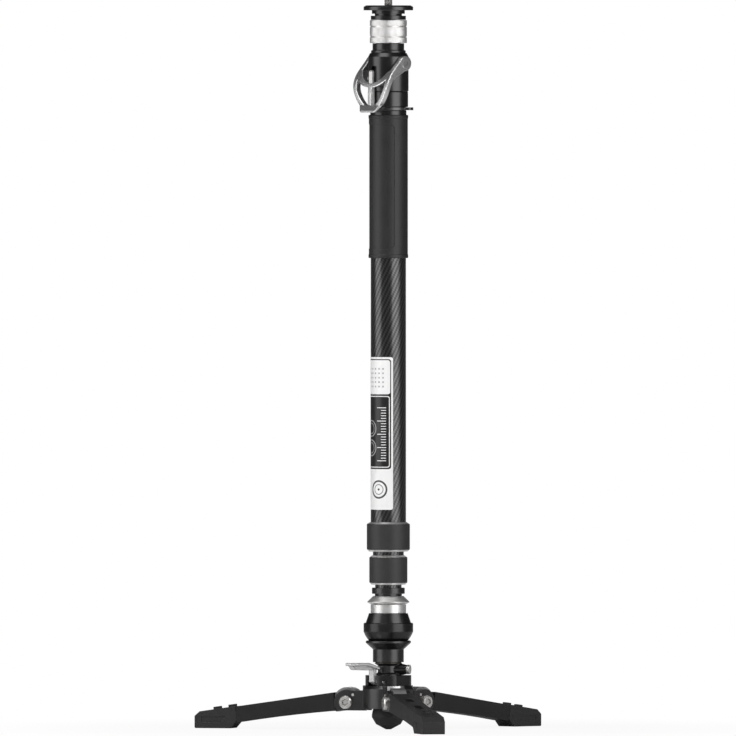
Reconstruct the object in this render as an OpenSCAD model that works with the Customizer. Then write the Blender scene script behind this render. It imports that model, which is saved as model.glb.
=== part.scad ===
// Video monopod: a three-section column on a tilting ball base with three folding legs.
// Millimetres, +Z up. The origin is on the floor under the column, and -Y is the lever and pedal side.

/* [Centre foot] */
// Height of the centre foot, from the floor to the hub
foot_h = 23.7; // [18:0.1:30]
// Largest radius of the centre foot
foot_r = 19.2; // [14:0.1:24]
// Radius of the flat tip on the floor
foot_tip_r = 3; // [1:0.1:6]
// Radius of the stud that holds the centre foot
foot_stud_r = 4; // [2.5:0.1:6]

/* [Hub] */
// Radius of the hub's core
hub_r = 29; // [26:0.1:32]
// Height of the hub's core
hub_h = 26; // [22:0.1:34]
// Distance of the leg pivots from the column axis
pivot_r = 46.4; // [44:0.1:56]
// Height of the leg pivots above the hub's underside
pivot_rise = 7; // [4:0.1:10]
// Radius of the ears that carry a leg
ear_r = 14; // [10:0.1:15]
// Thickness of an ear
ear_t = 4.7; // [3:0.1:7]
// Drop of the ears' flat edge below the pivot
ear_drop = 9.4; // [6:0.1:12]
// Radius of the leg bolts
bolt_r = 4; // [3:0.1:5]
// Radius of the leg bolts' heads
bolt_head_r = 7.5; // [6:0.1:9]
// Height of the leg bolts' heads
bolt_head_h = 4.6; // [1.5:0.1:6]
// Distance of a stop pin from its leg pivot
stop_pin_arm = 11.8; // [9:0.1:13]
// Radius of the stop pins
stop_pin_r = 1.5; // [1:0.1:2]

/* [Turret and pan] */
// Radius of the turret on the hub
turret_r = 26; // [22:0.1:28]
// Height of the turret
turret_h = 11.7; // [11:0.1:16]
// Half distance across the turret's side flats
turret_flat = 24; // [20:0.1:26]
// Radius of the pan post
post_r = 15.4; // [13:0.1:19]
// Radius of the pan post's waist
post_waist_r = 12; // [11:0.1:12.6]
// Height of the pan post
post_h = 13.9; // [12:0.1:20]
// Radius of the pan spindle
spindle_r = 9; // [8:0.1:11]
// Thickness of the pan washer
pan_washer_t = 0.8; // [0.5:0.1:2]
// Reach of the pan lock screw's boss from the axis
boss_reach = 22.2; // [18:0.1:26]
// Radius of the pan lock screw's head
lock_head_r = 5.3; // [4:0.1:6]
// Length of the pan lock screw's head
lock_head_h = 3.2; // [2:0.1:8]

/* [Pedal] */
// Reach of the pedal's tip from the axis
pedal_reach = 62; // [52:0.5:80]
// Width of the pedal's paddle
pedal_w = 19; // [12:0.5:30]
// Width of the pedal's arm
pedal_arm_w = 8; // [5:0.1:9]
// Height of the paddle's top above the turret's underside
pedal_rise = 26.3; // [23:0.1:34]
// Thickness of the paddle's plate
pedal_t = 3.2; // [2:0.1:5]

/* [Ball] */
// Radius of the ball
ball_r = 29.6; // [28:0.1:34]
// Height of the ball's centre above the cup's underside
ball_rise = 44.1; // [42:0.1:50]
// Radius of the ball's band
band_r = 28.05; // [26:0.01:28.5]
// Wall of the ball
ball_wall = 4.4; // [3:0.1:6]
// Radius of the cup's barrel
barrel_r = 17.5; // [15:0.1:22]
// Radius of the cup's rim
rim_r = 25.5; // [25:0.1:32]
// Thickness of the friction liner
liner_t = 1.3; // [1:0.1:2]
// Radius of the draw rod
rod_r = 3; // [2:0.1:4]
// Height of the cone above the ball's band
cap_h = 10.8; // [8:0.1:16]
// Radius at the top of the cone
cap_top_r = 22; // [20:0.1:24]

/* [Union] */
// Radius of the bright stem
stem_r = 20; // [17:0.1:22]
// Height of the bright stem
stem_h = 10.2; // [8:0.1:16]
// Radius of the union ring's flange
flange_r = 23.8; // [21:0.1:28]
// Height of the union ring
union_h = 9.6; // [7:0.1:14]
// Height of the groove above the union ring
groove_h = 2.3; // [1:0.1:5]
// Radius of the ring at the foot of the column
foot_ring_r = 18.6; // [16:0.1:22]
// Height of the ring at the foot of the column
foot_ring_h = 6.9; // [4:0.1:12]

/* [Tubes] */
// Radius of the outer tube
tube1_r = 20; // [19.6:0.05:20.4]
// Radius of the middle tube
tube2_r = 17.5; // [17.2:0.05:17.8]
// Radius of the inner tube
tube3_r = 15; // [14.7:0.05:15.2]
// Wall of every tube
tube_wall = 1.5; // [1.2:0.05:1.7]
// Length of outer tube in sight below the grip
tube1_show = 299; // [200:1:360]
// Length of middle tube in sight between the collars
tube2_show = 4.3; // [2:0.1:20]
// Length of inner tube in sight below the lower collar
tube3_show = 3.5; // [2:0.1:20]

/* [Collars] */
// Height of the upper collar
collar1_h = 33.4; // [28:0.1:44]
// Radius of the upper collar's sleeve
collar1_r = 24.4; // [24:0.1:28]
// Height of the lower collar
collar2_h = 33.2; // [28:0.1:44]
// Radius of the lower collar's sleeve
collar2_r = 21.6; // [21.4:0.1:25]
// Thickness of the collars' rubber sleeves
sleeve_t = 1.1; // [0.8:0.1:1.4]
// Height of the collars' bright end bands
collar_band = 2; // [1:0.1:4]

/* [Grip] */
// Length of the grip
grip_h = 162; // [120:1:220]
// Radius of the grip
grip_r = 22.1; // [21.8:0.05:25]
// How far the grip's end beads stand proud
bead_rise = 0.4; // [0.2:0.1:1]
// Depth of the grip's long panel
panel_depth = 0.5; // [0.2:0.1:0.9]
// Width of the grip's long panel
panel_w = 40; // [20:0.5:42]
// Height of the neck above the grip
neck_h = 5.1; // [3:0.1:10]
// Radius of the neck above the grip
neck_r = 20.5; // [20:0.1:22]

/* [Strap ring] */
// Thickness of the strap ring
strap_t = 3.2; // [2:0.1:5]
// Radius of the strap ring
strap_r = 22.4; // [22:0.1:24]
// Reach of the strap lug from the axis
lug_reach = 28.6; // [28.4:0.1:36]

/* [Lever head] */
// Radius of the lever housing
housing_r = 22.9; // [22:0.1:25]
// Height of the lever housing
housing_h = 43.6; // [40:0.1:50]
// Radius of the lever housing's lower ring
base_r = 22.4; // [21.5:0.1:24]
// Height of the lever housing's lower ring
base_h = 17.6; // [12:0.1:24]
// Height of the lever's pivot above the housing's underside
lever_rise = 31.9; // [30:0.1:33]
// Half width of the lever across its eyes
lever_half_w = 29; // [27.5:0.1:32]
// Radius of the lever's eyes
eye_r = 8.3; // [7:0.1:9]
// Depth of the lever's rails
rail_d = 6.2; // [4:0.1:7]
// Width of the lever's rails
rail_w = 5.2; // [4.5:0.1:8]
// Radius of the cam shaft
shaft_r = 4; // [3:0.1:5]
// Radius of the cam's lobe
lobe_r = 8; // [7:0.1:8.5]
// Throw of the cam's lobe
lobe_throw = 2.5; // [1:0.1:2.7]

/* [Top] */
// Radius of the step above the housing
step_r = 19.7; // [18:0.1:20.5]
// Height of the step above the housing
step_h = 3.6; // [2:0.1:6]
// Radius of the top neck
top_neck_r = 17.9; // [16:0.1:19]
// Height of the top neck
top_neck_h = 7.4; // [5:0.1:12]
// Radius of the knurled lock ring
lock_ring_r = 20.95; // [19:0.05:24]
// Height of the knurled lock ring
lock_ring_h = 26.6; // [20:0.1:34]
// Radius of the platform disc
platform_r = 28.1; // [24:0.1:34]
// Thickness of the platform disc
platform_t = 5.6; // [4:0.1:8]
// Radius of the camera stud
stud_r = 4.7625; // [3.175:0.0125:4.7625]
// Height of the camera stud above the platform
stud_h = 11; // [6:0.1:14]

/* [Legs] */
// Reach of the feet from the column axis
foot_reach = 226; // [190:1:280]
// Height of the leg's centre line at the foot's end
toe_h = 4.7; // [3:0.1:6]
// Width of a leg
leg_w = 25; // [22:0.1:30]
// Height of a leg's top edge above its pivot line
leg_top = 13; // [12:0.1:14]
// Depth of a leg below its pivot line at the root
leg_root_drop = 9; // [7:0.1:10]
// Depth of a leg below its pivot line at the boot
leg_tip_drop = 5; // [3:0.1:7]
// Radius of the leg's hinge barrel
knuckle_r = 17; // [16:0.1:17]
// Length of the rubber boots
boot_l = 50; // [40:0.5:60]
// Height of the studs on the boots
boot_stud_h = 3.2; // [2:0.1:4]

/* [Hidden] */

black = "#1c1c1e";
rubber = "#33353a";
carbon = "#2b2c2e";
silver = "#c9cacb";
grey = "#8d8f92";
steel = "#d8d8d6";
bronze = "#a5803f";
nylon = "#e6e4de";
$fn = 96;

// Clearances: fixed fits, running fits and rigid bodies that pass; reaches of a cutting tool; a broken edge
fit = 0.03;
run = 0.05;
gap = 0.3;
past = 1;
far = 100;
edge = 0.8;

// Levels of the stack from the floor up
z_hub = foot_h;
z_turret = z_hub + hub_h;
z_post = z_turret + turret_h;
z_pan = z_post + post_h;
z_cup = z_pan + pan_washer_t + 2 * run;
z_ball = z_cup + ball_rise;
band_above = 0.4;
z_cap = z_ball + band_above;
z_stem = z_cap + cap_h;
z_union = z_stem + stem_h;
z_groove = z_union + union_h;
z_foot_ring = z_groove + groove_h;
z_tube3 = z_foot_ring + foot_ring_h;
z_collar2 = z_tube3 + tube3_show;
z_tube2 = z_collar2 + collar2_h;
z_collar1 = z_tube2 + tube2_show;
z_tube1 = z_collar1 + collar1_h;
z_grip = z_tube1 + tube1_show;
z_neck = z_grip + grip_h;
z_strap = z_neck + neck_h;
z_base = z_strap + strap_t + 2 * gap;
z_housing = z_base + base_h;
z_step = z_housing + housing_h;
z_top_neck = z_step + step_h;
z_lock_ring = z_top_neck + top_neck_h;
z_head = z_lock_ring + lock_ring_h;
bearing_h = 4.6;
head_groove_h = 2.3;
head_neck_h = 3.9;
z_platform = z_head + bearing_h + head_groove_h + head_neck_h;
z_top = z_platform + platform_t;

// Legs: azimuths from the front, and a leg's slope from its pivot to its toe
right_az = 60;
rear_az = 180;
left_az = 300;
leg_az = [right_az, rear_az, left_az];
pivot_z = z_hub + pivot_rise;
leg_slope = atan((pivot_z - toe_h) / (foot_reach - pivot_r));
// Folded legs stand this far short of upright, so that the tilted column clears them
fold_short = 6;
leg_fold = 90 + leg_slope - fold_short;
leg_l = (foot_reach - pivot_r) / cos(leg_slope);
boot_u = leg_l - boot_l;
tongue_w = leg_w - 2 * ear_t - 2 * gap;
shoulder_u = ear_r - 0.4;
stop_pin_a = 135;
plate_t = 0.8;
plate_r = pivot_r - knuckle_r - 2 * gap;
plate_edge = 2;
hub_bevel = 2.6;

// Pedal pivot
pedal_pivot_r = 20;
pedal_pivot_z = z_turret + 4.3;
pedal_pin_r = 2;
nose_top = 1.5;
nose_end_r = 4;
nose_t = 2.5;
pedal_top = z_turret + pedal_rise - pedal_pivot_z;
paddle_l = 24;
pedal_bend_r = pedal_reach - paddle_l;
pedal_slope = 5;
pedal_corner = 5;
pedal_arm_r = pedal_pivot_r + 6.4;
slot_w = pedal_arm_w + 6.4;
spring_bore_r = spindle_r - 2;
turret_bore_r = spindle_r + 3;
retainer_r = turret_bore_r - 0.5;
retainer_t = 2;
spindle_end = z_post - retainer_t - gap;
lock_screw_r = 3;
post_flare = 2.4;
boss_root_r = post_waist_r - 1.4;
lock_az = 120;
lock_z = z_post + 6.6;

// Ball seat: shells about the ball's centre, and polar angles from straight down
seat_r = ball_r + liner_t + 2 * gap;
liner_polar = [22, 33];
ball_hole_polar = 26;
dome_polar = 44;
cavity_r = ball_r - ball_wall;
cavity_step = 7;
skirt_r = cavity_r - 2.3;
rim_depth = 19.8;
seal_t = 1.1;

// Column fits
plug_l = 25;
bush_l = 20;
bush_cap = 4;
tube_end = 10.5;
lip = 3;
collar_wall = 1.2;
sleeve_round = 0.6;
stem_bore_r = 12;
boss_r = 13;
push_rod_r = 4;
push_rod_wall = 0.8;
head_t = 4;
tube_room = 5;
plug_drop = 8;
ring_seat_r = tube1_r - 0.3;
z_tube1_end = z_collar1 + tube_end;
z_tube2_end = z_collar2 + tube_end;
z_tube2_top = z_neck - plug_drop - tube_room - bush_cap;
z_tube3_top = z_tube2_top - tube_room - bush_cap;

// Lever head
lever_z = z_housing + lever_rise;
lever_open_r = housing_r + 0.5;
lever_drop = 55.7;
lever_lip_z = lever_z - lever_drop;
lip_h = 8;
lip_out = 3.6;
lip_half_w = 11.2;
bow_r = 38.3;
bow_back = 9;
bow_drop = 34.4;
bow_sweep = 42.7;
bow_inner_sweep = 30;
rails_r = 44;
rails_drop = 16.4;
yoke_r = 36.3;
yoke_rise = 8.9;
rib_w = 5.2;
tongue_gap = 1.2;
lever_tongue_t = 3;
lever_tongue_w = 5.3;
lever_tongue_drop = 7.6;
tongue_slot_w = lever_tongue_w + 3.7;
tongue_slot_d = 4.5;
tongue_slot_h = 23;
tongue_slot_drop = 26;
cam_start = 60;
cam_cavity_r = 12;
lobe_w = 9;
push_rod_top = lever_z - lobe_r - lobe_throw * cos(cam_start) - 0.15;
push_rod_l = z_neck - z_tube1;
spindle_top_r = 9;
stud_root_r = stud_r + 1;
sleeve_top_r = 14;

// Points of an arc, for outlines
function arc(c, r, a0, a1, n = 12) =
    [for (i = [0:n]) let (a = a0 + (a1 - a0) * i / n) [c[0] + r * cos(a), c[1] + r * sin(a)]];

// Points of a plain ring's section
function ring(r0, r1, z0, z1) = [[r0, z0], [r1, z0], [r1, z1], [r0, z1]];

module turned(points) rotate_extrude() polygon(points);

module at_az(a) rotate([0, 0, a]) children();

// Stands an outline drawn as (reach, height) on its edge, facing -Y
module side(w) rotate([90, 0, -90]) linear_extrude(height = w, center = true) children();

// Stands an outline drawn as (x, height) upright, from the axis towards -Y
module front(d) rotate([90, 0, 0]) linear_extrude(height = d) children();

// A leg's own frame: the pivot at the origin and the leg running level towards -Y
module leg_frame() translate([0, -pivot_r, pivot_z]) rotate([leg_slope, 0, 0]) children();

// A round bar along X
module cross_bar(r, l) rotate([0, 90, 0]) cylinder(r = r, h = l, center = true);

// A slot outline with round ends along the first axis
module round_slot(l, w) {
    square([l - w, w], center = true);
    for (s = [-1, 1]) translate([s * (l - w) / 2, 0]) circle(w / 2);
}

// A cone about the ball's centre that opens downwards
module down_cone(polar) turned([
    [0, z_ball],
    [far * sin(polar), z_ball - far * cos(polar)],
    [0, z_ball - far * cos(polar)]]);

module ball_sphere(r) translate([0, 0, z_ball]) sphere(r);

module centre_foot() color(rubber) difference() {
    intersection() {
        turned([
            [0, 0], [foot_tip_r, 0], [foot_r - 5.2, foot_h * 0.25], [foot_r, foot_h * 0.62],
            [foot_r - 2, foot_h], [0, foot_h]]);
        cylinder(r = foot_r, h = foot_h, $fn = 12);
    }
    translate([0, 0, foot_h * 0.4]) cylinder(r = foot_stud_r + fit, h = foot_h);
}

module foot_stud() color(steel)
    translate([0, 0, foot_h * 0.4]) cylinder(r = foot_stud_r, h = foot_h * 0.6 + hub_h * 0.6);

module ear_outline() difference() {
    union() {
        translate([pivot_r, pivot_z]) circle(ear_r);
        translate([hub_r - 6, pivot_z - ear_drop]) square([pivot_r - hub_r + 6, ear_drop + leg_top]);
    }
    translate([0, pivot_z - ear_drop - far]) square([far, far]);
}

// A thin plate on the hub behind a hinge barrel, or its recess
module wear_plate(clear) intersection() {
    translate([0, 0, z_hub + plate_edge]) difference() {
        cylinder(r = plate_r + (clear > 0 ? far : 0), h = hub_h - plate_edge - gap);
        translate([0, 0, -past]) cylinder(r = plate_r - plate_t - clear, h = hub_h + 2 * past);
    }
    translate([-tongue_w / 2 - clear, -far, 0]) cube([tongue_w + 2 * clear, far, z_turret + clear]);
}

// A block from the axis out through a leg's ears
module leg_pad(w, over = 0) translate([-w / 2, -far, z_hub - over]) cube([w, far, hub_h + 2 * over]);

// Backs each wear plate where the legs stand further out than the hub
module plate_backing() intersection() {
    translate([0, 0, z_hub + plate_edge / 2]) cylinder(r = plate_r - gap / 2, h = hub_h - plate_edge / 2 - gap / 2);
    leg_pad(leg_w - ear_t);
}

module hub() color(black) difference() {
    union() {
        difference() {
            union() {
                translate([0, 0, z_hub]) cylinder(r = hub_r, h = hub_h);
                for (a = leg_az) at_az(a) plate_backing();
            }
            for (a = leg_az) at_az(a) difference() {
                leg_pad(leg_w - ear_t, past);
                translate([0, 0, z_hub - 2 * past]) cylinder(r = plate_r, h = hub_h + 4 * past);
            }
        }
        for (a = leg_az, s = [-1, 1]) at_az(a)
            translate([s * (leg_w - ear_t) / 2, 0, 0]) side(ear_t) ear_outline();
    }
    difference() {
        turned([
            [hub_r - hub_bevel, z_turret + past], [hub_r - hub_bevel, z_turret],
            [hub_r + past, z_turret - 2 * hub_bevel], [hub_r + past, z_turret + past]]);
        for (a = leg_az) at_az(a) leg_pad(leg_w);
    }
    translate([0, 0, z_hub - past]) cylinder(r = foot_stud_r + fit, h = hub_h * 0.6 + past + gap);
    for (a = leg_az) at_az(a) {
        translate([0, -pivot_r, pivot_z]) cross_bar(bolt_r + run, leg_w + 2 * past);
        stop_pin(stop_pin_r + fit);
        wear_plate(fit);
    }
}

module wear_plates() color(steel) for (a = leg_az) at_az(a) wear_plate(0);

// A bolt's head or its nut, standing on its seat: a round block with a bevelled rim and a six-sided socket
module bolt_head() difference() {
    bevel = bolt_head_h * 0.28;
    turned([
        [0, 0], [bolt_head_r, 0], [bolt_head_r, bolt_head_h - bevel], [bolt_head_r - bevel, bolt_head_h],
        [0, bolt_head_h]]);
    translate([0, 0, bolt_head_h * 0.7]) cylinder(r = bolt_r, h = bolt_head_h, $fn = 6);
}

// A bolt with a socket head on one side of the leg and a matching nut on the other
module leg_bolt() translate([0, -pivot_r, pivot_z]) rotate([0, 90, 0]) {
    nut_end = leg_w / 2 + bolt_head_h * 0.4;
    translate([0, 0, leg_w / 2]) bolt_head();
    translate([0, 0, -nut_end]) cylinder(r = bolt_r, h = nut_end + leg_w / 2 + bolt_head_h * 0.3);
    difference() {
        translate([0, 0, -leg_w / 2]) rotate([180, 0, 0]) bolt_head();
        translate([0, 0, -nut_end - fit]) cylinder(r = bolt_r + fit, h = nut_end);
    }
}

module leg_bolts() color(steel) for (a = leg_az) at_az(a) leg_bolt();

module stop_pin(r)
    translate([0, -pivot_r - stop_pin_arm * cos(stop_pin_a), pivot_z + stop_pin_arm * sin(stop_pin_a)])
        cross_bar(r, leg_w + 1.6);

module stop_pins() color(steel) for (a = leg_az) at_az(a) stop_pin(stop_pin_r);

module turret() color(black) difference() {
    intersection() {
        translate([0, 0, z_turret]) cylinder(r = turret_r, h = turret_h);
        translate([-turret_flat, -far, z_turret]) cube([2 * turret_flat, 2 * far, turret_h]);
    }
    translate([0, 0, z_turret - past]) cylinder(r = turret_bore_r, h = turret_h + 2 * past);
    translate([-slot_w / 2, -far, z_turret - past]) cube([slot_w, far, turret_h + 2 * past]);
    translate([0, -pedal_pivot_r, pedal_pivot_z]) cross_bar(pedal_pin_r + fit, far);
}

module lock_frame() at_az(lock_az) translate([0, 0, lock_z]) rotate([90, 0, 0]) children();

// The post has a waist, and a cone on one side that carries the lock screw
module pan_post() color(black) difference() {
    union() {
        turned([
            [spindle_r + run, z_post], [post_r, z_post], [post_r, z_post + edge],
            [post_waist_r, z_post + edge + post_flare], [post_waist_r, z_pan - edge - post_flare],
            [post_r, z_pan - edge], [post_r, z_pan], [spindle_r + run, z_pan]]);
        intersection() {
            lock_frame() cylinder(r1 = boss_root_r, r2 = lock_head_r - gap, h = boss_reach);
            turned(ring((spindle_r + post_waist_r) / 2, far, z_post + gap, z_pan - gap));
        }
    }
    lock_frame() cylinder(r = lock_screw_r + run, h = far);
}

module pan_lock_screw() color(silver) lock_frame() {
    translate([0, 0, spindle_r + 2 * run])
        cylinder(r = lock_screw_r, h = boss_reach - spindle_r + lock_head_h / 2);
    translate([0, 0, boss_reach + gap]) cylinder(r = lock_head_r, h = lock_head_h);
}

module pan_washer() color(bronze)
    turned(ring(spindle_r + run, post_r - 0.6, z_pan + run, z_pan + run + pan_washer_t));

module pedal_pin() color(steel)
    translate([0, -pedal_pivot_r, pedal_pivot_z]) cross_bar(pedal_pin_r, 2 * (turret_r - 12));

// The pedal's outlines, as reach from the axis and height above the pivot
module pedal_plate_outline() {
    inner = pedal_pivot_r;
    polygon([
        [pedal_reach, pedal_top], [pedal_reach, pedal_top - pedal_t], [pedal_bend_r, pedal_top - pedal_t],
        [inner, pedal_top - pedal_slope - pedal_t], [inner, pedal_top - pedal_slope],
        [pedal_bend_r, pedal_top]]);
}

module pedal_web_outline() {
    back = pedal_pivot_r + 2;
    polygon([
        [pedal_reach - 2, pedal_top - pedal_t / 2], [pedal_reach - 8, pedal_top - 8],
        [pedal_bend_r - 2, pedal_top - 8.6], [pedal_arm_r, pedal_top - pedal_slope - pedal_t],
        [pedal_arm_r, 0], [pedal_pivot_r, -pedal_pin_r - 1.6], [nose_end_r, nose_top - nose_t],
        [nose_end_r, nose_top], [back - 5, nose_top], [back, nose_top + 4], [back, pedal_top - pedal_slope],
        [pedal_bend_r, pedal_top - pedal_t / 2]]);
}

module pedal() color(silver) translate([0, 0, pedal_pivot_z]) difference() {
    neck_w = pedal_arm_w + 4;
    tip = pedal_reach - pedal_corner;
    heel = pedal_reach - 4 * pedal_corner;
    half = [
        [pedal_w / 2 - pedal_corner, -pedal_reach], [pedal_w / 2, -tip], [pedal_w / 2, -heel],
        [neck_w / 2, 0]];
    union() {
        intersection() {
            side(pedal_w) pedal_plate_outline();
            linear_extrude(height = far, center = true)
                polygon(concat(half, [for (i = [len(half) - 1:-1:0]) [-half[i][0], half[i][1]]]));
        }
        side(pedal_arm_w) pedal_web_outline();
    }
    translate([0, -pedal_pivot_r, 0]) cross_bar(pedal_pin_r + run, far);
}

rod_foot = pedal_pivot_z + nose_top + gap;
rod_foot_t = 3;
rod_foot_r = spring_bore_r - 0.5;
rod_top = z_ball - 9;
dome_t = 4.5;
spring_n = 5;
spring_h = 1.2;
spring_top = rod_foot + rod_foot_t + spring_n * spring_h;
pedal_lift = 3.5;

module draw_rod() color(steel) {
    translate([0, 0, rod_foot]) cylinder(r = rod_foot_r, h = rod_foot_t);
    translate([0, 0, rod_foot]) cylinder(r = rod_r, h = rod_top - rod_foot);
}

module clamp_dome() color(grey) difference() {
    intersection() {
        ball_sphere(cavity_r - gap);
        down_cone(dome_polar);
    }
    ball_sphere(cavity_r - gap - dome_t);
    cylinder(r = rod_r + fit, h = z_ball);
}

module disc_springs() color(steel) for (i = [0:spring_n - 1])
    translate([0, 0, rod_foot + rod_foot_t + i * spring_h]) rotate_extrude() polygon([
        [rod_r + 0.4, 0.5], [rod_foot_r, 0], [rod_foot_r, 0.6], [rod_r + 0.4, 1.1]]);

module swivel_cup() color(black) difference() {
    turned([
        [rod_r + gap, spindle_end], [spindle_r, spindle_end], [spindle_r, z_cup], [barrel_r, z_cup],
        [barrel_r, z_ball - ball_r], [rim_r, z_ball - rim_depth - 2.5], [rim_r, z_ball - rim_depth - 0.5],
        [rim_r - 0.5, z_ball - rim_depth], [rod_r + gap, z_ball - rim_depth]]);
    ball_sphere(seat_r);
    translate([0, 0, spindle_end - past])
        cylinder(r = spring_bore_r, h = spring_top + pedal_lift - spindle_end + 2 * past);
}

module pan_retainer() color(steel)
    turned(ring(spindle_r + fit, retainer_r, spindle_end, spindle_end + retainer_t));

module rim_seal() color(rubber) difference() {
    intersection() {
        ball_sphere(seat_r - fit);
        turned(ring(0, far, z_ball - rim_depth - seal_t, z_ball - rim_depth));
    }
    ball_sphere(ball_r + gap);
}

module seat_liner() color(nylon) difference() {
    intersection() {
        ball_sphere(ball_r + gap + liner_t);
        down_cone(liner_polar[1]);
    }
    ball_sphere(ball_r + gap);
    down_cone(liner_polar[0]);
}

module ball() color(black) difference() {
    intersection() {
        ball_sphere(ball_r);
        turned([
            [0, z_ball - far], [band_r, z_ball - far], [band_r, z_cap - edge], [band_r - edge, z_cap],
            [0, z_cap]]);
    }
    intersection() {
        ball_sphere(cavity_r);
        turned(ring(0, far, z_ball - far, z_ball - cavity_step + fit));
    }
    turned(ring(0, skirt_r + fit, z_ball - cavity_step, z_cap + past));
    down_cone(ball_hole_polar);
}

module ball_cap() color(black) turned([
    [skirt_r - 3, z_cap - 6], [skirt_r, z_cap - 6], [skirt_r, z_cap], [band_r - 2.35, z_cap],
    [cap_top_r, z_stem], [stem_bore_r + fit, z_stem], [stem_bore_r + fit, z_stem - 5],
    [skirt_r - 3, z_stem - 8]]);

module ball_stem() color(silver) turned([
    [boss_r - 3 + fit, z_stem - 5], [stem_bore_r, z_stem - 5], [stem_bore_r, z_stem], [stem_r - 0.4, z_stem],
    [stem_r, z_stem + 0.4], [stem_r, z_union - 0.6], [stem_r - 0.6, z_union], [boss_r - 3 + fit, z_union]]);

module union_ring() color(silver) turned([
    [boss_r + run, z_union + gap], [flange_r - 3.2, z_union + gap], [flange_r, z_union + 2.3],
    [flange_r, z_union + 3], [foot_ring_r - 1.3, z_groove - gap], [boss_r + run, z_groove - gap]]);

module column_foot() color(black) turned([
    [0, z_union - 8], [boss_r - 3, z_union - 8], [boss_r - 3, z_union], [boss_r, z_union], [boss_r, z_groove],
    [foot_ring_r - 3.3, z_groove], [foot_ring_r - 3.3, z_foot_ring], [foot_ring_r - 0.5, z_foot_ring],
    [foot_ring_r, z_foot_ring + 0.5], [foot_ring_r, z_tube3 - 0.5], [foot_ring_r - 0.5, z_tube3],
    [tube3_r - tube_wall - fit, z_tube3], [tube3_r - tube_wall - fit, z_tube3 + plug_l],
    [0, z_tube3 + plug_l]]);

module tube(r, z0, z1) turned(ring(r - tube_wall, r, z0, z1));

// A guide bush on the top end of a tube, running in the next tube's bore
module bush(r, bore_r, z_end) turned([
    [r + fit, z_end - bush_l], [bore_r - run, z_end - bush_l], [bore_r - run, z_end + bush_cap],
    [push_rod_r + gap, z_end + bush_cap], [push_rod_r + gap, z_end], [r + fit, z_end]]);

// The turning body of a collar: lips on both tubes, a bright band at each end, a seat for the sleeve
module collar(z, h, sleeve_r, r_out, r_in) {
    body_r = sleeve_r - sleeve_t;
    bore_r = body_r - collar_wall;
    translate([0, 0, z]) turned([
        [r_in + gap, 0], [sleeve_r - 2.6, 0], [sleeve_r - sleeve_round, collar_band], [body_r, collar_band],
        [body_r, h - collar_band], [sleeve_r - sleeve_round, h - collar_band], [r_out + 2 * gap, h],
        [r_out + gap, h],
        [r_out + gap, h - lip], [bore_r, h - lip], [bore_r, lip], [r_in + gap, lip]]);
}

module collar_sleeve(z, h, sleeve_r) turned([
    [sleeve_r - sleeve_t + fit, z + collar_band], [sleeve_r - sleeve_round, z + collar_band],
    [sleeve_r - sleeve_round / 4, z + collar_band + sleeve_round],
    [sleeve_r, z + collar_band + 2 * sleeve_round], [sleeve_r, z + h - collar_band - 2 * sleeve_round],
    [sleeve_r - sleeve_round / 4, z + h - collar_band - sleeve_round],
    [sleeve_r - sleeve_round, z + h - collar_band], [sleeve_r - sleeve_t + fit, z + h - collar_band]]);

// The threaded ferrule on the end of a tube, inside its collar
module ferrule(z, h, sleeve_r, r_out) turned(ring(
    r_out + fit, sleeve_r - sleeve_t - collar_wall - gap, z + tube_end, z + h - lip - gap));

// The split collet that the collar squeezes onto the inner tube
module collet(z, sleeve_r, r_in) difference() {
    turned(ring(r_in + 0.2, sleeve_r - sleeve_t - collar_wall - gap, z + lip + gap, z + tube_end - gap));
    translate([0, -1.5, z]) cube([far, 3, far]);
}

module inner_tube() color(carbon) tube(tube3_r, z_tube3, z_tube3_top);

module inner_bush() color(nylon) bush(tube3_r, tube2_r - tube_wall, z_tube3_top);

module middle_tube() color(carbon) tube(tube2_r, z_tube2_end, z_tube2_top);

module middle_bush() color(nylon) bush(tube2_r, tube1_r - tube_wall, z_tube2_top);

module middle_ferrule() color(black) ferrule(z_collar2, collar2_h, collar2_r, tube2_r);

module middle_collet() color(nylon) collet(z_collar2, collar2_r, tube3_r);

module lower_collar() color(silver) collar(z_collar2, collar2_h, collar2_r, tube2_r, tube3_r);

module lower_collar_sleeve() color(rubber) collar_sleeve(z_collar2, collar2_h, collar2_r);

module outer_tube() color(carbon) tube(tube1_r, z_tube1_end, z_neck);

module outer_ferrule() color(black) ferrule(z_collar1, collar1_h, collar1_r, tube1_r);

module outer_collet() color(nylon) collet(z_collar1, collar1_r, tube2_r);

module upper_collar() color(silver) collar(z_collar1, collar1_h, collar1_r, tube1_r, tube2_r);

module upper_collar_sleeve() color(rubber) collar_sleeve(z_collar1, collar1_h, collar1_r);

module grip() color(rubber) difference() {
    bead_r = grip_r + bead_rise;
    panel_margin = 10;
    panel_corner = 5;
    turned([
        [tube1_r + fit, z_grip], [bead_r - 0.5, z_grip], [bead_r, z_grip + 0.6], [bead_r, z_grip + 3.5],
        [grip_r, z_grip + 4.5], [grip_r, z_neck - 4.5], [bead_r, z_neck - 3.5], [bead_r, z_neck - 0.6],
        [bead_r - 0.5, z_neck], [tube1_r + fit, z_neck]]);
    difference() {
        translate([0, 0, z_grip + grip_h / 2])
            front(far) rotate(90) round_panel(grip_h - 2 * panel_margin, panel_w, panel_corner);
        cylinder(r = grip_r - panel_depth, h = z_top);
    }
}

// A rectangle with round corners
module round_panel(l, w, r) {
    square([l - 2 * r, w], center = true);
    square([l, w - 2 * r], center = true);
    for (x = [-1, 1], y = [-1, 1]) translate([x * (l / 2 - r), y * (w / 2 - r)]) circle(r);
}

module grip_collar() color(black) turned([
    [tube1_r - tube_wall, z_neck], [neck_r, z_neck], [neck_r, z_strap - 0.6], [neck_r - 0.6, z_strap],
    [tube1_r - tube_wall, z_strap]]);

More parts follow.
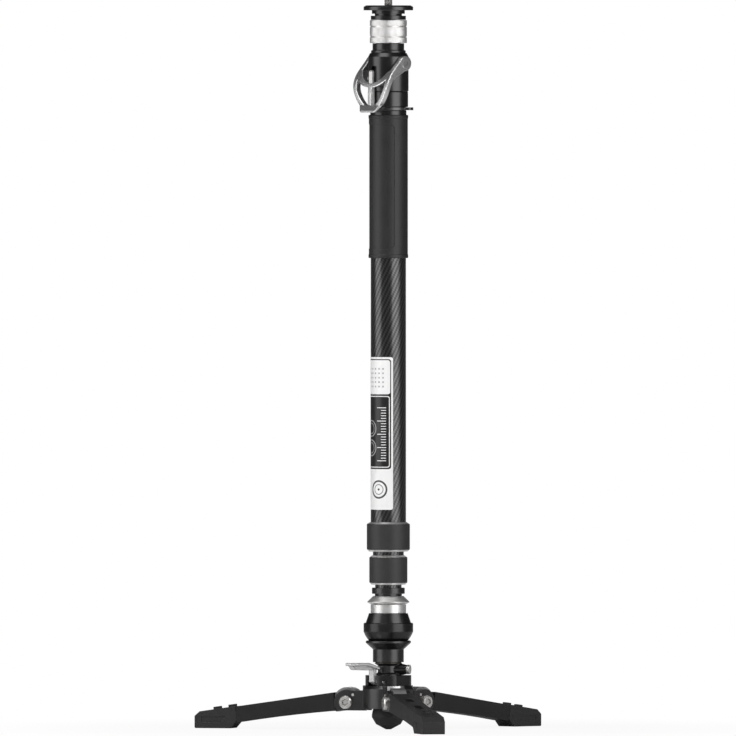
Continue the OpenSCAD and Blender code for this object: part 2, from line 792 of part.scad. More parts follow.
module housing_base() color(black) turned([
    [push_rod_r + gap, z_neck - plug_drop], [tube1_r - tube_wall - fit, z_neck - plug_drop],
    [tube1_r - tube_wall - fit, z_strap], [ring_seat_r, z_strap], [ring_seat_r, z_base],
    [base_r - edge, z_base], [base_r, z_base + edge], [base_r, z_housing - edge], [base_r - edge, z_housing],
    [push_rod_r + gap, z_housing]]);

module strap_ring_outline() difference() {
    lug_w = 13;
    lug_corner = 4;
    slot_l = 9;
    slot_r = [strap_r + edge / 2, lug_reach - 2 * edge];
    union() {
        circle(strap_r);
        rotate(lock_az) translate([0, -lug_reach / 2]) rotate(90) round_panel(lug_reach, lug_w, lug_corner);
    }
    circle(ring_seat_r + run);
    rotate(lock_az) translate([0, -(slot_r[0] + slot_r[1]) / 2])
        square([slot_l, slot_r[1] - slot_r[0]], center = true);
}

module strap_ring() color(grey)
    translate([0, 0, z_strap + gap]) linear_extrude(height = strap_t) strap_ring_outline();

module lever_housing() color(black) difference() {
    turned([
        [0, z_housing], [housing_r - 0.8, z_housing], [housing_r, z_housing + 0.8], [housing_r, z_step - 4.1],
        [housing_r - 2.1, z_step], [0, z_step]]);
    translate([0, 0, z_housing - past]) cylinder(r = cam_cavity_r, h = housing_h + 2 * past);
    translate([0, 0, lever_z]) cross_bar(shaft_r + run, far);
    translate([-tongue_slot_w / 2, -far, lever_z - tongue_slot_drop])
        cube([tongue_slot_w, far - housing_r + tongue_slot_d, tongue_slot_h]);
}

// The lever's arm seen from the side: it starts inside the eye, curves down and ends in a lip
module lever_side_outline() {
    c = [-bow_back, lever_z - bow_drop];
    lip_top = lever_lip_z + lip_h + edge / 2;
    outer_y = bow_r - bow_back;
    root_r = eye_r - edge / 4;
    polygon(concat(
        [[0, lever_z], root_r * [cos(bow_sweep), sin(bow_sweep)] + [0, lever_z]],
        arc(c, bow_r, bow_sweep, 0),
        [[outer_y, lip_top], [outer_y + lip_out, lever_lip_z + lip_out / 2],
         [outer_y + lip_out - edge / 2, lever_lip_z], [outer_y + 2 * edge, lever_lip_z],
         [outer_y - rail_d, lip_top]],
        arc(c, bow_r - rail_d, 0, bow_inner_sweep),
        [[0, lever_z - root_r]]));
}

// The opening between the lever's rails that the housing stands in
module lever_opening(clear) translate([0, lever_z + past]) circle(lever_open_r - clear);

// The lever seen from the front: two rails that draw in to a lip, with three openings
module lever_front_outline() {
    c = [lever_half_w - rails_r, lever_z - rails_drop];
    knee = asin((lever_drop - rails_drop - lip_h) / rails_r);
    top = lever_z + eye_r + past;
    half = concat([[lever_half_w, top]], arc(c, rails_r, 0, -knee), [[lip_half_w, lever_lip_z]]);
    difference() {
        polygon(concat(half, [for (i = [len(half) - 1:-1:0]) [-half[i][0], half[i][1]]]));
        lever_opening(0);
        translate([-lever_open_r, lever_z - eye_r - gap]) square([2 * lever_open_r, far]);
        for (s = [0, 1]) mirror([s, 0]) difference() {
            intersection() {
                translate(c) circle(rails_r - rail_w);
                translate([rib_w / 2, lever_lip_z + lip_h]) square([far, lever_drop - lip_h]);
            }
            translate([0, lever_z + yoke_rise]) circle(yoke_r);
        }
    }
}

module lever() color(silver) difference() {
    union() {
        intersection() {
            side(2 * lever_half_w) lever_side_outline();
            translate([0, far / 2, 0]) front(2 * far) lever_front_outline();
        }
        for (s = [-1, 1]) translate([s * (lever_open_r + lever_half_w) / 2, 0, lever_z])
            cross_bar(eye_r, lever_half_w - lever_open_r);
    }
    cylinder(r = lever_open_r - run, h = lever_z);
    translate([0, 0, lever_z]) cross_bar(shaft_r + fit, far);
}

// The tongue that stands on the lever's yoke in front of the housing
module lever_tongue() color(silver) intersection() {
    inner = lever_open_r + tongue_gap;
    top = lever_z - lever_tongue_drop;
    side(lever_tongue_w) polygon([
        [inner, lever_z - lever_open_r], [inner + lever_tongue_t, lever_z - lever_open_r],
        [inner + lever_tongue_t, top - 2 * edge], [inner + lever_tongue_t - edge, top], [inner, top]]);
    translate([0, far / 2, 0]) front(2 * far) intersection() {
        lever_opening(fit);
        union() {
            translate([-lever_tongue_w, top - rib_w / 2 - far]) square([2 * lever_tongue_w, far]);
            translate([0, top - rib_w / 2]) circle(rib_w / 2 + edge / 16);
        }
    }
}

module lever_screws() color(steel) for (s = [0, 1]) mirror([s, 0, 0])
    translate([lever_half_w, 0, lever_z]) rotate([0, 90, 0]) difference() {
        cylinder(r = eye_r - 2.6, h = 1.4);
        translate([0, 0, 0.6]) cylinder(r = 2.5, h = past, $fn = 6);
    }

module cam_shaft() color(steel) {
    translate([0, 0, lever_z]) cross_bar(shaft_r, 2 * lever_half_w);
    translate([0, -lobe_throw * sin(cam_start), lever_z - lobe_throw * cos(cam_start)])
        cross_bar(lobe_r, lobe_w);
}

// A light tube with a closed head
module push_rod() color(nylon) turned([
    [push_rod_r - push_rod_wall, push_rod_top - push_rod_l], [push_rod_r, push_rod_top - push_rod_l],
    [push_rod_r, push_rod_top - head_t], [lobe_r, push_rod_top - head_t], [lobe_r, push_rod_top],
    [0, push_rod_top], [0, push_rod_top - 2 * head_t],
    [push_rod_r - push_rod_wall, push_rod_top - 2 * head_t]]);

module top_neck() color(black) turned([
    [0, z_step], [step_r - edge / 4, z_step], [step_r, z_step + edge], [step_r, z_top_neck - edge],
    [top_neck_r, z_top_neck],
    [top_neck_r, z_lock_ring], [sleeve_top_r, z_lock_ring], [sleeve_top_r, z_head - gap],
    [spindle_top_r + run, z_head - gap], [spindle_top_r + run, z_lock_ring + 6], [0, z_lock_ring + 6]]);

module lock_ring() color(silver) {
    z0 = z_lock_ring + gap;
    z1 = z_head - gap;
    cut = 0.8;
    grooves = [z0 + (z1 - z0) * 0.27, z0 + (z1 - z0) * 0.72];
    turned(concat(
        [[sleeve_top_r + run, z0], [lock_ring_r - 0.4, z0], [lock_ring_r, z0 + 0.4]],
        [for (g = grooves) each [[lock_ring_r, g - cut], [lock_ring_r - cut, g - cut / 2],
            [lock_ring_r - cut, g + cut / 2], [lock_ring_r, g + cut]]],
        [[lock_ring_r, z1 - 0.4], [lock_ring_r - 0.4, z1], [sleeve_top_r + run, z1]]));
}

module platform() color(black) difference() {
    z1 = z_head + bearing_h;
    z2 = z1 + head_groove_h;
    turned([
        [0, z_lock_ring + 7], [spindle_top_r, z_lock_ring + 7], [spindle_top_r, z_head],
        [top_neck_r + 2, z_head],
        [top_neck_r + 2, z1], [top_neck_r - 2.5, z1], [top_neck_r - 2.5, z2], [top_neck_r + 0.8, z2],
        [top_neck_r + 0.8, z_platform], [platform_r - 0.3, z_platform], [platform_r, z_platform + 0.4],
        [platform_r, z_top - 1.6], [platform_r - 2.6, z_top], [0, z_top]]);
    translate([0, 0, z_head]) cylinder(r = stud_root_r + fit, h = far);
}

module camera_stud() color(steel) turned([
    [0, z_head], [stud_root_r, z_head], [stud_root_r, z_top], [stud_r, z_top],
    [stud_r, z_top + stud_h - edge],
    [stud_r - edge, z_top + stud_h], [0, z_top + stud_h]]);

// A leg's bar from the side, cut clear of the ears
module leg_outline() difference() {
    bow = 1.4;
    polygon(concat(
        [[0, leg_top], [boot_u, leg_top]],
        [for (i = [0:6]) let (t = i / 6) [
            boot_u * (1 - t),
            -leg_tip_drop - (leg_root_drop - leg_tip_drop) * t + bow * 4 * t * (1 - t)]]));
    circle(ear_r + 2 * gap);
    translate([-far, 0]) square([far + shoulder_u, far]);
}

module boot_tenon(clear) translate([boot_u - past, -leg_tip_drop + 2.5 - clear])
    square([boot_l - 8 + past + clear, leg_top + leg_tip_drop - 5.5 + 2 * clear]);

tenon_w = 10;
tenon_l = 30;
tenon_h = 10;

module knuckle_tenon(clear) translate([0, -2 - clear]) square([tenon_l + clear, tenon_h + 2 * clear]);

module leg() color(black) leg_frame() difference() {
    union() {
        side(leg_w) leg_outline();
        side(leg_w - 6) boot_tenon(0);
    }
    side(tongue_w + 2 * gap) circle(knuckle_r + fit);
    side(tenon_w + 2 * fit) knuckle_tenon(fit);
    for (p = [[46, 68], [90, 120]])
        translate([0, -(p[0] + p[1]) / 2, leg_top - 3]) linear_extrude(height = far)
            rotate(90) round_slot(p[1] - p[0], 9);
}

// The arc in a hinge barrel that the stop pin runs along
module stop_slot() {
    a0 = stop_pin_a + leg_slope - leg_fold - 2;
    a1 = stop_pin_a + leg_slope + 2;
    wide = stop_pin_r + gap;
    polygon(concat(
        arc([0, 0], stop_pin_arm + wide, a0, a1, 24), arc([0, 0], stop_pin_arm - wide, a1, a0, 24)));
    for (a = [a0, a1]) translate(stop_pin_arm * [cos(a), sin(a)]) circle(wide);
}

module knuckle() color(grey) leg_frame() difference() {
    rib_n = 5;
    pitch = tongue_w / (rib_n + 1);
    union() {
        side(tongue_w) difference() {
            circle(knuckle_r);
            translate([-far, -leg_root_drop - far]) square([2 * far, far]);
        }
        side(tenon_w) knuckle_tenon(0);
    }
    side(far) circle(bolt_r + run);
    side(far) stop_slot();
    for (i = [1:rib_n]) translate([i * pitch - tongue_w / 2, 0, 0]) side(pitch * 0.4) difference() {
        circle(knuckle_r + past);
        circle(knuckle_r - 0.7);
        square([far, 2 * knuckle_r + 2 * past], center = false);
        translate([0, -far]) square([far, far]);
    }
}

// Height of a leg's top edge at a reach from the axis
function leg_top_z(r) = pivot_z + leg_top / cos(leg_slope) - (r - pivot_r) * tan(leg_slope);

module boot() color(rubber) difference() {
    r0 = foot_reach - boot_l;
    outline = [
        [foot_reach - 1, 0], [foot_reach, 1], [foot_reach, leg_top_z(foot_reach) - 4],
        [foot_reach - 6, leg_top_z(foot_reach - 6) + 0.4], [r0, leg_top_z(r0) + 0.4], [r0, 9], [r0 + 8, 0]];
    union() {
        side(leg_w + 1) polygon(outline);
        for (u = [boot_u + 1, boot_u + 19]) leg_frame()
            translate([0, -u - 5, leg_top]) linear_extrude(height = boot_stud_h) rotate(90) round_slot(10, 9);
    }
    leg_frame() side(leg_w - 6 + 2 * fit) boot_tenon(fit);
    leg_frame() translate([-far, -boot_u, -far]) cube([2 * far, far, 2 * far]);
    for (s = [-1, 1]) translate([s * (leg_w + 1) / 2, 0, 0]) side(1.6) polygon([
        [r0 + 20, 6], [foot_reach - 8, 7], [foot_reach - 8, 13], [r0 + 13, 14]]);
}

module right_leg() at_az(right_az) leg();

module right_knuckle() at_az(right_az) knuckle();

module right_boot() at_az(right_az) boot();

module rear_leg() at_az(rear_az) leg();

module rear_knuckle() at_az(rear_az) knuckle();

module rear_boot() at_az(rear_az) boot();

module left_leg() at_az(left_az) leg();

module left_knuckle() at_az(left_az) knuckle();

module left_boot() at_az(left_az) boot();

centre_foot();
foot_stud();
hub();
wear_plates();
leg_bolts();
stop_pins();
turret();
pan_post();
pan_washer();
pedal_pin();
pan_lock_screw();
pedal();
draw_rod();
clamp_dome();
disc_springs();
swivel_cup();
pan_retainer();
rim_seal();
seat_liner();
ball();
ball_cap();
ball_stem();
column_foot();
inner_tube();
inner_bush();
union_ring();
middle_tube();
middle_bush();
middle_ferrule();
middle_collet();
lower_collar();
lower_collar_sleeve();
outer_tube();
outer_ferrule();
outer_collet();
grip();
grip_collar();
housing_base();
lever_housing();
top_neck();
upper_collar();
upper_collar_sleeve();
strap_ring();
lever();
lever_tongue();
lever_screws();
cam_shaft();
push_rod();
lock_ring();
platform();
camera_stud();
right_leg();
right_knuckle();
right_boot();
rear_leg();
rear_knuckle();
rear_boot();
left_leg();
left_knuckle();
left_boot();
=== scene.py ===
import bpy
import numpy as np
from math import cos, pi, radians, sin
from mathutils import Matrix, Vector


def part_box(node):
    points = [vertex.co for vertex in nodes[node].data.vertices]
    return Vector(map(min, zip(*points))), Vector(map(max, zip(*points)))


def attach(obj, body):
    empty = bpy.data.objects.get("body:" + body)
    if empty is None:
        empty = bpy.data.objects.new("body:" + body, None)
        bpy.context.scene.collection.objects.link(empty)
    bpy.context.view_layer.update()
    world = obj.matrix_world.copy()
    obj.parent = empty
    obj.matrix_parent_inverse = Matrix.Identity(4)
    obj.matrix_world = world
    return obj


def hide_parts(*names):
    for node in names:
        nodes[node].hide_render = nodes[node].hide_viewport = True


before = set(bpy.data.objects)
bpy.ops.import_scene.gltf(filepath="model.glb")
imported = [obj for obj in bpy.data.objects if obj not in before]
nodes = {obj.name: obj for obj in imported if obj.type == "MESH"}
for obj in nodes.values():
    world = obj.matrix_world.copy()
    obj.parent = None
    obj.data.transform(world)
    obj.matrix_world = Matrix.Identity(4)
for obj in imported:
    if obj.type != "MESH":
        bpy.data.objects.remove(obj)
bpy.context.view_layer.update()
mm = 0.001


class Wire:
    # a socket in a shader tree; sums and products of wires add Math nodes
    def __init__(self, tree, socket=None):
        self.tree = tree
        self.socket = socket

    # settings go in first, then socket values or links
    def node(self, kind, settings=None, values=None, out=0):
        made = self.tree.nodes.new("ShaderNode" + kind)
        for key, value in (settings or {}).items():
            setattr(made, key, value)
        for key, value in (values or {}).items():
            if isinstance(value, Wire):
                self.tree.links.new(value.socket, made.inputs[key])
            else:
                made.inputs[key].default_value = value
        return Wire(self.tree, made.outputs[out] if made.outputs else None)

    def math(self, operation, *terms):
        return self.node("Math", {"operation": operation}, dict(enumerate(terms)))

    def __add__(self, other):
        return self.math("ADD", self, other)

    def __radd__(self, other):
        return self.math("ADD", other, self)

    def __sub__(self, other):
        return self.math("SUBTRACT", self, other)

    def __rsub__(self, other):
        return self.math("SUBTRACT", other, self)

    def __mul__(self, other):
        return self.math("MULTIPLY", self, other)

    def __rmul__(self, other):
        return self.math("MULTIPLY", other, self)

    def __truediv__(self, other):
        return self.math("DIVIDE", self, other)

    # floored remainder, so that a pattern runs on through zero
    def __mod__(self, other):
        return self.math("FLOORED_MODULO", self, other)

    def __abs__(self):
        return self.math("ABSOLUTE", self)

    # 1 up to the first limit, falling smoothly to 0 at the second
    def fade(self, first, second):
        ends = {"Value": self, "From Min": first, "From Max": second, "To Min": 1.0, "To Max": 0.0}
        return self.node("MapRange", {"interpolation_type": "SMOOTHSTEP"}, ends)

    # 1 below the limit and 0 above it, with a soft step that reaches this far to each side
    def below(self, limit, soft):
        return self.fade(limit - soft, limit + soft)

    # colour a where the wire is 0, colour b where it is 1
    def blend(self, a, b):
        return self.node("Mix", {"data_type": "RGBA"}, {0: self, 6: a, 7: b}, 2)

    def noise(self, scale, detail=2.0):
        return self.node("TexNoise", values={"Vector": self, "Scale": scale, "Detail": detail})

    # how far a pattern that repeats every 1 is from the middle of its repeat
    def fromMiddle(self):
        return abs(self % 1.0 - 0.5)

    # the three parts of a vector
    def parts(self):
        split = self.node("SeparateXYZ", values={0: self}).socket.node
        return [Wire(self.tree, socket) for socket in split.outputs]


def grey(level, warm=0.0):
    return (level * (1 + warm), level, level * (1 - warm), 1.0)


def newFinish(name):
    made = bpy.data.materials.new(name)
    made.use_nodes = True
    made.node_tree.nodes.clear()
    return made, Wire(made.node_tree)


def surface(start, **values):
    # keys are socket names with _ for the space
    shader = start.node("BsdfPrincipled", values={k.replace("_", " "): v for k, v in values.items()})
    start.node("OutputMaterial", values={"Surface": shader})


def relief(start, strength, height, **more):
    # a bump whose height is in metres
    return start.node("Bump", values={"Strength": strength, "Distance": 1.0, "Height": height, **more})


def edgeNormal(start, radius):
    # the normal rounded over the edges, and a mask that is 1 on the edges
    bend = {"samples": 6, "limit": 0.93, "soft": 0.05}
    rounded = start.node("Bevel", {"samples": bend["samples"]}, {"Radius": radius})
    flat = start.node("NewGeometry", out="Normal")
    along = start.node("VectorMath", {"operation": "DOT_PRODUCT"}, {0: rounded, 1: flat}, "Value")
    return rounded, along.below(bend["limit"], bend["soft"])


def plainFinish(name, look):
    # grain: fine all-over noise; rings: lathe lines round the axis; cloud: slow change of shade and gloss
    shared = {"cloudDetail": 3.0, "ringShare": 0.4, "strength": 0.6, "specular": 0.5}
    paintedShadeInHollows = {"samples": 6, "reach": 4 * mm, "soft": 0.2, "shade": grey(0.01)}
    made, start = newFinish(name)
    place = start.node("TexCoord", out="Object")
    cloud = place.noise(look["cloud"], shared["cloudDetail"])
    rounded, edges = edgeNormal(start, look["edge"])
    height = place.noise(look["grain"]) * look["grainDepth"]
    if "rings" in look:
        z = place.parts()[2]
        wave = {"W": z, "Scale": look["rings"], "Detail": 2.0}
        lines = start.node("TexNoise", {"noise_dimensions": "1D"}, wave)
        height = height + lines * look["ringDepth"]
        cloud = cloud * (1 - shared["ringShare"]) + lines * shared["ringShare"]
    shade = cloud.blend(look["dark"], look["light"])
    # painted shade: where ambient occlusion finds a recess, the base colour is darkened towards near black,
    # standing in for the shade that falls there
    if "recess" in look:
        local = {"samples": paintedShadeInHollows["samples"], "only_local": True}
        clear = start.node("AmbientOcclusion", local, {"Distance": paintedShadeInHollows["reach"]}, "AO")
        shade = clear.below(look["recess"], paintedShadeInHollows["soft"]).blend(shade, paintedShadeInHollows["shade"])
    low, high = look["rough"]
    # edge colour: wear on most finishes; on the lever it is a painted highlight and on the pedal painted
    # shade lines
    surface(
        start, Base_Color=edges.blend(shade, look["edgeWearAndPaintedLight"]), Metallic=look["metal"],
        Roughness=(low + cloud * (high - low)) - edges * look["polish"],
        Normal=relief(start, shared["strength"], height, Normal=rounded),
        Specular_IOR_Level=look.get("specular", shared["specular"]))
    return made


anodised = {
    "edgeWearAndPaintedLight": grey(0.2), "metal": 0.95, "rough": (0.25, 0.34), "polish": 0.04, "cloud": 45, "grain": 5200,
    "grainDepth": 0.004 * mm, "rings": 5200, "ringDepth": 0.002 * mm, "edge": 0.35 * mm}
blackAnodised = plainFinish("blackAnodised", {**anodised, "dark": grey(0.066), "light": grey(0.096)})

# painted shade: a darker copy of blackAnodised for the ball and turret, standing in for the shade these parts
# sit in
shadedBlackAnodised = plainFinish("shadedBlackAnodised", {
    **anodised, "dark": grey(0.042), "light": grey(0.062), "edgeWearAndPaintedLight": grey(0.17), "rough": (0.24, 0.32)})

satinLeg = plainFinish("satinLeg", {
    "dark": grey(0.016), "light": grey(0.023), "edgeWearAndPaintedLight": grey(0.06), "metal": 0.0, "rough": (0.44, 0.56),
    "polish": 0.06, "cloud": 30, "grain": 3800, "grainDepth": 0.012 * mm, "edge": 0.5 * mm,
    "specular": 0.25})

gripRubber = plainFinish("gripRubber", {
    "dark": grey(0.0145), "light": grey(0.021), "edgeWearAndPaintedLight": grey(0.045), "metal": 0.0, "rough": (0.42, 0.54),
    "polish": 0.0, "cloud": 70, "grain": 2300, "grainDepth": 0.02 * mm, "edge": 0.5 * mm})

bootRubber = plainFinish("bootRubber", {
    "dark": grey(0.013), "light": grey(0.022), "edgeWearAndPaintedLight": grey(0.05), "metal": 0.0, "rough": (0.55, 0.7),
    "polish": 0.0, "cloud": 55, "grain": 1900, "grainDepth": 0.03 * mm, "edge": 0.7 * mm})

turnedSilver = plainFinish("turnedSilver", {
    "dark": grey(0.82, 0.008), "light": grey(0.92, 0.01), "edgeWearAndPaintedLight": grey(0.95), "metal": 0.9,
    "rough": (0.34, 0.42), "polish": 0.06, "cloud": 60, "grain": 6000, "grainDepth": 0.002 * mm,
    "rings": 6500, "ringDepth": 0.004 * mm, "edge": 0.3 * mm})

# painted highlight: the near-white edge colour brightens the lever's edges
leverSilver = plainFinish("leverSilver", {
    "dark": grey(0.8), "light": grey(0.9), "edgeWearAndPaintedLight": grey(0.98), "metal": 0.92, "rough": (0.2, 0.27),
    "polish": 0.08, "cloud": 80, "grain": 5600, "grainDepth": 0.004 * mm, "edge": 1.8 * mm})

# painted shade: the near-black edge colour draws dark lines along the pedal's edges
pedalChrome = plainFinish("pedalChrome", {
    "dark": grey(0.86), "light": grey(0.94), "edgeWearAndPaintedLight": grey(0.02), "metal": 0.6, "rough": (0.18, 0.26),
    "polish": 0.02, "cloud": 90, "grain": 5600, "grainDepth": 0.003 * mm, "edge": 1.5 * mm})

boltSteel = plainFinish("boltSteel", {
    "dark": grey(0.74, 0.03), "light": grey(0.88, 0.03), "edgeWearAndPaintedLight": grey(0.95, 0.01), "metal": 0.85,
    "rough": (0.2, 0.3), "polish": 0.05, "cloud": 120, "grain": 5000, "grainDepth": 0.003 * mm,
    "edge": 0.4 * mm, "recess": 0.62})

castGrey = plainFinish("castGrey", {
    "dark": grey(0.32), "light": grey(0.44), "edgeWearAndPaintedLight": grey(0.8), "metal": 0.85, "rough": (0.28, 0.4),
    "polish": 0.1, "cloud": 90, "grain": 3200, "grainDepth": 0.01 * mm, "edge": 0.3 * mm, "recess": 0.55})

gunMetal = plainFinish("gunMetal", {
    "dark": grey(0.09), "light": grey(0.14), "edgeWearAndPaintedLight": grey(0.45), "metal": 0.95, "rough": (0.28, 0.38),
    "polish": 0.08, "cloud": 90, "grain": 4200, "grainDepth": 0.005 * mm, "edge": 0.3 * mm})

brightPlate = plainFinish("brightPlate", {
    "dark": grey(0.86), "light": grey(0.94), "edgeWearAndPaintedLight": grey(0.95), "metal": 0.6, "rough": (0.2, 0.3),
    "polish": 0.02, "cloud": 110, "grain": 5200, "grainDepth": 0.002 * mm, "edge": 0.2 * mm})

guideNylon = plainFinish("guideNylon", {
    "dark": grey(0.66, 0.03), "light": grey(0.75, 0.03), "edgeWearAndPaintedLight": grey(0.8), "metal": 0.0,
    "rough": (0.45, 0.6), "polish": 0.0, "cloud": 60, "grain": 2600, "grainDepth": 0.006 * mm,
    "edge": 0.3 * mm})

padBronze = plainFinish("padBronze", {
    "dark": (0.055, 0.042, 0.026, 1), "light": (0.085, 0.064, 0.04, 1), "edgeWearAndPaintedLight": (0.16, 0.12, 0.07, 1),
    "metal": 0.9, "rough": (0.36, 0.48), "polish": 0.05, "cloud": 80, "grain": 4200,
    "grainDepth": 0.004 * mm, "edge": 0.2 * mm})


def pebbledSleeve():
    # rubber with a fine diamond grain: two crossed ridge waves round and along the collar
    look = {
        "across": 150, "along": 0.95 * mm, "depth": 0.035 * mm, "dark": grey(0.02), "light": grey(0.036),
        "cloud": 130, "cloudDetail": 4.0, "grain": 3200, "grainDepth": 0.02 * mm, "edge": 0.4 * mm,
        "strength": 0.7, "ridgeShare": 0.3, "rough": 0.42, "roughMore": 0.14}
    made, start = newFinish("pebbledSleeve")
    place = start.node("TexCoord", out="Object")
    x, y, z = place.parts()
    turn = start.math("ARCTAN2", y, x) * (look["across"] / (2 * pi))
    rise = z / look["along"]
    ridges = (turn + rise).fromMiddle() + (turn - rise).fromMiddle()
    cloud = place.noise(look["cloud"], look["cloudDetail"])
    height = ridges * look["depth"] + place.noise(look["grain"]) * look["grainDepth"]
    rounded = edgeNormal(start, look["edge"])[0]
    mottle = cloud * (1 - look["ridgeShare"]) + ridges * look["ridgeShare"]
    surface(
        start, Base_Color=mottle.blend(look["dark"], look["light"]), Metallic=0.0,
        Roughness=look["rough"] + cloud * look["roughMore"],
        Normal=relief(start, look["strength"], height, Normal=rounded))
    return made


def wovenCarbon():
    # 2 by 2 twill: a tow lies on top where (column - row) mod 4 is under 2
    look = {
        "tows": 108, "row": 2.4 * mm, "repeat": 4.0, "onTop": 1.5, "soft": 0.1,
        "over": grey(0.11), "under": grey(0.026), "metal": 0.85, "shine": (0.28, 0.4),
        "fibresAcross": 9.0, "fibresAlong": 1.3, "fibreDetail": 3.0, "tone": 0.62, "fibreTone": 0.5,
        "crownTone": 0.3, "crownDepth": 0.03 * mm, "fibreDepth": 0.004 * mm, "strength": 0.35,
        "coat": 0.8, "coatRough": 0.2}
    made, start = newFinish("wovenCarbon")
    x, y, z = start.node("TexCoord", out="Object").parts()
    column = start.math("ARCTAN2", y, x) * (look["tows"] / (2 * pi))
    row = z / look["row"]
    step = (start.math("FLOOR", column) - start.math("FLOOR", row)) % look["repeat"]
    over = step.below(look["onTop"], look["soft"])
    across = column.fromMiddle() * 2.0
    along = row.fromMiddle() * 2.0
    crown = over * (1 - across * across) + (1 - over) * (1 - along * along)
    stretched = {0: column * look["fibresAcross"], 1: row * look["fibresAlong"], 2: 0.0}
    fibre = start.node("CombineXYZ", values=stretched).noise(1.0, look["fibreDetail"])
    tone = over * (look["tone"] + look["fibreTone"] * fibre)
    tone = tone * ((1 - look["crownTone"]) + look["crownTone"] * crown)
    height = crown * look["crownDepth"] + fibre * look["fibreDepth"]
    low, high = look["shine"]
    surface(
        start, Base_Color=tone.blend(look["under"], look["over"]), Metallic=look["metal"],
        Roughness=high - tone * (high - low), Coat_Weight=look["coat"], Coat_Roughness=look["coatRough"],
        Normal=relief(start, look["strength"], height))
    return made


sleeveRubber = pebbledSleeve()
carbon = wovenCarbon()

dressing = {
    blackAnodised: (
        "hub pan_post swivel_cup ball_cap column_foot middle_ferrule outer_ferrule"
        " grip_collar housing_base lever_housing top_neck platform"),
    shadedBlackAnodised: "ball turret",
    satinLeg: "right_leg rear_leg left_leg",
    bootRubber: "right_boot rear_boot left_boot centre_foot rim_seal",
    gripRubber: "grip",
    sleeveRubber: "lower_collar_sleeve upper_collar_sleeve",
    carbon: "inner_tube middle_tube outer_tube",
    turnedSilver: "ball_stem union_ring lower_collar upper_collar lever_tongue pan_lock_screw",
    leverSilver: "lever",
    pedalChrome: "pedal",
    boltSteel: "leg_bolts stop_pins foot_stud pedal_pin draw_rod disc_springs pan_retainer cam_shaft",
    castGrey: "right_knuckle rear_knuckle left_knuckle clamp_dome lever_screws",
    gunMetal: "strap_ring",
    brightPlate: "wear_plates",
    guideNylon: "seat_liner inner_bush middle_bush middle_collet outer_collet push_rod",
    padBronze: "pan_washer",
}
for material, names in dressing.items():
    for name in names.split():
        for holder in nodes[name].material_slots:
            holder.material = material
print("finishes:", len(dressing))


def gridFaces(rows, columns, closeRows=False):
    # quads of a grid of points whose columns run round and close, row by row
    lower = np.arange(rows if closeRows else rows - 1)[:, None] * columns
    upper = (lower + columns) % (rows * columns)
    here = np.arange(columns)[None, :]
    after = (here + 1) % columns
    return np.stack([lower + here, lower + after, upper + after, upper + here], -1).reshape(-1, 4)


def newPiece(name, points, faces, material, body, smooth=True):
    mesh = bpy.data.meshes.new(name)
    mesh.from_pydata(points.reshape(-1, 3), [], faces)
    mesh.polygons.foreach_set("use_smooth", np.full(len(mesh.polygons), smooth))
    mesh.materials.append(material)
    mesh.update()
    made = bpy.data.objects.new(name, mesh)
    bpy.context.scene.collection.objects.link(made)
    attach(made, body)
    return made


def roundPoints(radius, height, turn):
    # x and y are the radius times the cosine and sine of the angle turn; z is the height
    radius, height, turn = np.broadcast_arrays(radius, height, turn)
    return np.stack([radius * np.cos(turn), radius * np.sin(turn), height], -1)


def knurledRing():
    # a closed profile turned about the axis; round the three bands the radius dips by a tooth wave
    ring = {
        "teeth": 120, "perTooth": 4, "depth": 0.14 * mm, "runIn": 0.3 * mm, "bore": 14.05 * mm,
        "cut": 0.8 * mm, "grooves": (0.27, 0.72), "lip": 0.4 * mm}
    low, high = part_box("lock_ring")
    outer = high.x
    bore, cut, lip, runIn = ring["bore"], ring["cut"], ring["lip"], ring["runIn"]
    z0, z1 = low.z, high.z
    profile = [(bore, z0, 0), (outer - lip, z0, 0), (outer, z0 + lip, 0)]
    start = z0 + 2 * lip
    for place in (*ring["grooves"], None):
        stop = z1 - 2 * lip if place is None else z0 + (z1 - z0) * place - cut
        profile += [(outer, start, 0), (outer, start + runIn, 1), (outer, stop - runIn, 1), (outer, stop, 0)]
        if place is not None:
            profile += [(outer - cut, stop + cut / 2, 0), (outer - cut, stop + 1.5 * cut, 0)]
            start = stop + 2 * cut
    profile += [(outer, z1 - lip, 0), (outer - lip, z1, 0), (bore, z1, 0)]
    radius, height, knurled = np.array(profile).T[:, :, None]
    count = ring["teeth"] * ring["perTooth"]
    turn = np.arange(count)[None, :] * 2 * pi / count
    half = ring["perTooth"] / 2
    tooth = np.abs(np.arange(count) % ring["perTooth"] - half)[None, :] / half
    points = roundPoints(radius - knurled * tooth * ring["depth"], height, turn)
    faces = gridFaces(len(profile), count, True)
    made = newPiece("knurledRing", points, faces, turnedSilver, "lock_ring", False)
    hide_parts("lock_ring")


